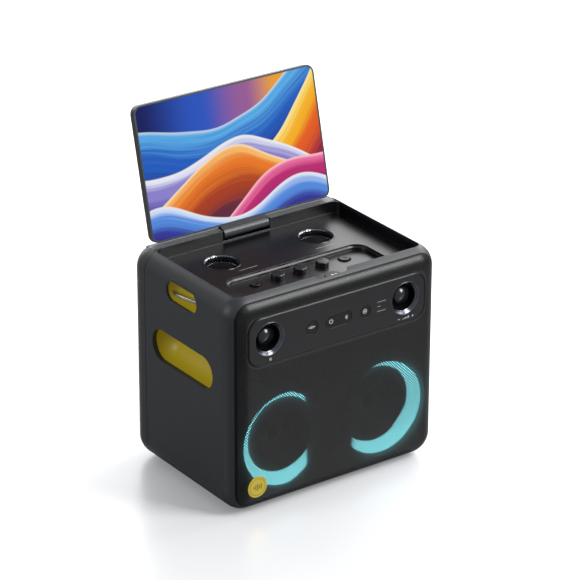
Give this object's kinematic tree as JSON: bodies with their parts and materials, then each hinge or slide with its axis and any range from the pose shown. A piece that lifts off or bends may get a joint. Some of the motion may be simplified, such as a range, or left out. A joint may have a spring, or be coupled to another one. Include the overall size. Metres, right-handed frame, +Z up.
{
  "type": "portable karaoke speaker",
  "caption": "Portable karaoke speaker: rounded cabinet, perforated front with light rings, recessed control deck, microphone wells and a flat screen that folds down into the top.",
  "frame": {"origin": "bottom centre of the whole object's box with the screen open, on the surface that the feet stand on", "axes": "+X to the viewer's right along the front, +Y from the front to the back, +Z up"},
  "size_m": [0.35, 0.282, 0.5142],
  "materials": {
    "satin_shell": "satin moulded plastic, fine grain",
    "deck_black": "satin black",
    "grille_mesh": "black powder coat, perforated",
    "panel_black": "satin black",
    "baffle_board": "matte black",
    "polished_ring": "dark polished metal",
    "cup_black": "matte black",
    "pad_rubber": "soft matte",
    "knob_black": "satin to gloss black",
    "button_black": "soft-touch black",
    "badge_yellow": "satin yellow",
    "cup_yellow": "satin yellow",
    "bar_steel": "polished steel",
    "light_diffuser": "frosted, lit cyan",
    "frame_steel": "black coated steel",
    "cone_paper": "coated paper",
    "magnet_iron": "plated",
    "board_green": "solder mask",
    "heat_sink": "anodised",
    "battery_wrap": "shrink wrap",
    "rubber_black": "matte",
    "screen_glass": "glossy, lit picture behind",
    "lcd_metal": "backing frame"
  },
  "bodies": {
    "housing": {"front_housing": "satin_shell", "rear_cover": "satin_shell", "seam_gasket": "rubber_black", "deck_tray": "deck_black", "hinge_cover": "satin_shell", "front_baffle": "baffle_board", "grille": "grille_mesh", "control_panel": "panel_black", "dish_ring_left": "polished_ring", "dish_ring_right": "polished_ring", "dish_cup_left": "cup_black", "dish_cup_right": "cup_black", "badge": "badge_yellow", "mic_ring_left": "polished_ring", "mic_ring_right": "polished_ring", "mic_cups": "cup_black", "mic_pads": "pad_rubber", "hinge_pin": "bar_steel", "hinge_brackets": "frame_steel", "grip_cup_left": "cup_yellow", "grip_cup_right": "cup_yellow", "lug_cup_left": "cup_yellow", "lug_cup_right": "cup_yellow", "strap_bar_left": "bar_steel", "strap_bar_right": "bar_steel", "light_ring_left": "light_diffuser", "light_ring_right": "light_diffuser", "woofer_frame_left": "frame_steel", "woofer_frame_right": "frame_steel", "woofer_cone_left": "cone_paper", "woofer_cone_right": "cone_paper", "woofer_magnets": "magnet_iron", "bass_port": "baffle_board", "io_panel": "panel_black", "jack_sockets": "frame_steel", "power_inlet": "frame_steel", "battery_pack": "battery_wrap", "main_board": "board_green", "amp_board": "heat_sink", "button_board": "board_green", "deck_board": "board_green", "rotary_encoders": "frame_steel", "feet": "rubber_black", "cover_screws": "bar_steel"},
    "screen": {"screen_back": "satin_shell", "screen_glass": "screen_glass", "lcd_module": "lcd_metal", "hinge_barrel": "satin_shell"},
    "light_knob": {"dish_knob_left": "knob_black"},
    "volume_knob": {"dish_knob_right": "knob_black"},
    "left_deck_knob": {"deck_knob_left": "knob_black"},
    "centre_deck_knob": {"deck_knob_centre": "knob_black"},
    "right_deck_knob": {"deck_knob_right": "knob_black"},
    "left_ring_key": {"ring_button_left": "button_black"},
    "right_ring_key": {"ring_button_right": "button_black"},
    "play_key": {"play_button": "button_black"},
    "small_key": {"small_button": "button_black"},
    "bass_key": {"bass_button": "button_black"},
    "power_key": {"power_rocker": "button_black"},
    "mode_key": {"mode_button": "button_black"}
  },
  "joints": [
    {"name": "screen_hinge", "type": "hinge", "parent": "housing", "child": "screen", "pos_m": [0, 0.08364, 0.3155], "axis": [1, 0, 0], "range_deg": [0, 103.6]},
    {"name": "light_knob_turn", "type": "hinge", "parent": "housing", "child": "light_knob", "pos_m": [-0.1145, -0.13186, 0.2596], "axis": [0, 1, 0], "continuous": true},
    {"name": "volume_knob_turn", "type": "hinge", "parent": "housing", "child": "volume_knob", "pos_m": [0.1145, -0.13186, 0.2596], "axis": [0, 1, 0], "continuous": true},
    {"name": "left_deck_knob_turn", "type": "hinge", "parent": "housing", "child": "left_deck_knob", "pos_m": [-0.0377, -0.05086, 0.299], "axis": [0, 0, 1], "range_deg": [-150, 150]},
    {"name": "centre_deck_knob_turn", "type": "hinge", "parent": "housing", "child": "centre_deck_knob", "pos_m": [0, -0.05086, 0.299], "axis": [0, 0, 1], "range_deg": [-150, 150]},
    {"name": "right_deck_knob_turn", "type": "hinge", "parent": "housing", "child": "right_deck_knob", "pos_m": [0.0377, -0.05086, 0.299], "axis": [0, 0, 1], "range_deg": [-150, 150]},
    {"name": "left_ring_key_press", "type": "slide", "parent": "housing", "child": "left_ring_key", "axis": [0, 0, -1], "range_m": [0, 0.001], "stiffness_N_per_m": 600, "springref_m": -0.0015},
    {"name": "right_ring_key_press", "type": "slide", "parent": "housing", "child": "right_ring_key", "axis": [0, 0, -1], "range_m": [0, 0.001], "stiffness_N_per_m": 600, "springref_m": -0.0015},
    {"name": "play_key_press", "type": "slide", "parent": "housing", "child": "play_key", "axis": [0, 0, -1], "range_m": [0, 0.001], "stiffness_N_per_m": 600, "springref_m": -0.0015},
    {"name": "small_key_press", "type": "slide", "parent": "housing", "child": "small_key", "axis": [0, 0, -1], "range_m": [0, 0.001], "stiffness_N_per_m": 600, "springref_m": -0.0015},
    {"name": "bass_key_press", "type": "slide", "parent": "housing", "child": "bass_key", "axis": [0, 1, 0], "range_m": [0, 0.001], "stiffness_N_per_m": 600, "springref_m": -0.0015},
    {"name": "mode_key_press", "type": "slide", "parent": "housing", "child": "mode_key", "axis": [0, 1, 0], "range_m": [0, 0.001], "stiffness_N_per_m": 600, "springref_m": -0.0015},
    {"name": "power_key_rock", "type": "hinge", "parent": "housing", "child": "power_key", "pos_m": [0, -0.13536, 0.258], "axis": [0, 0, 1], "range_deg": [-2.5, 2.5], "stiffness_Nm_per_rad": 0.5}
  ]
}
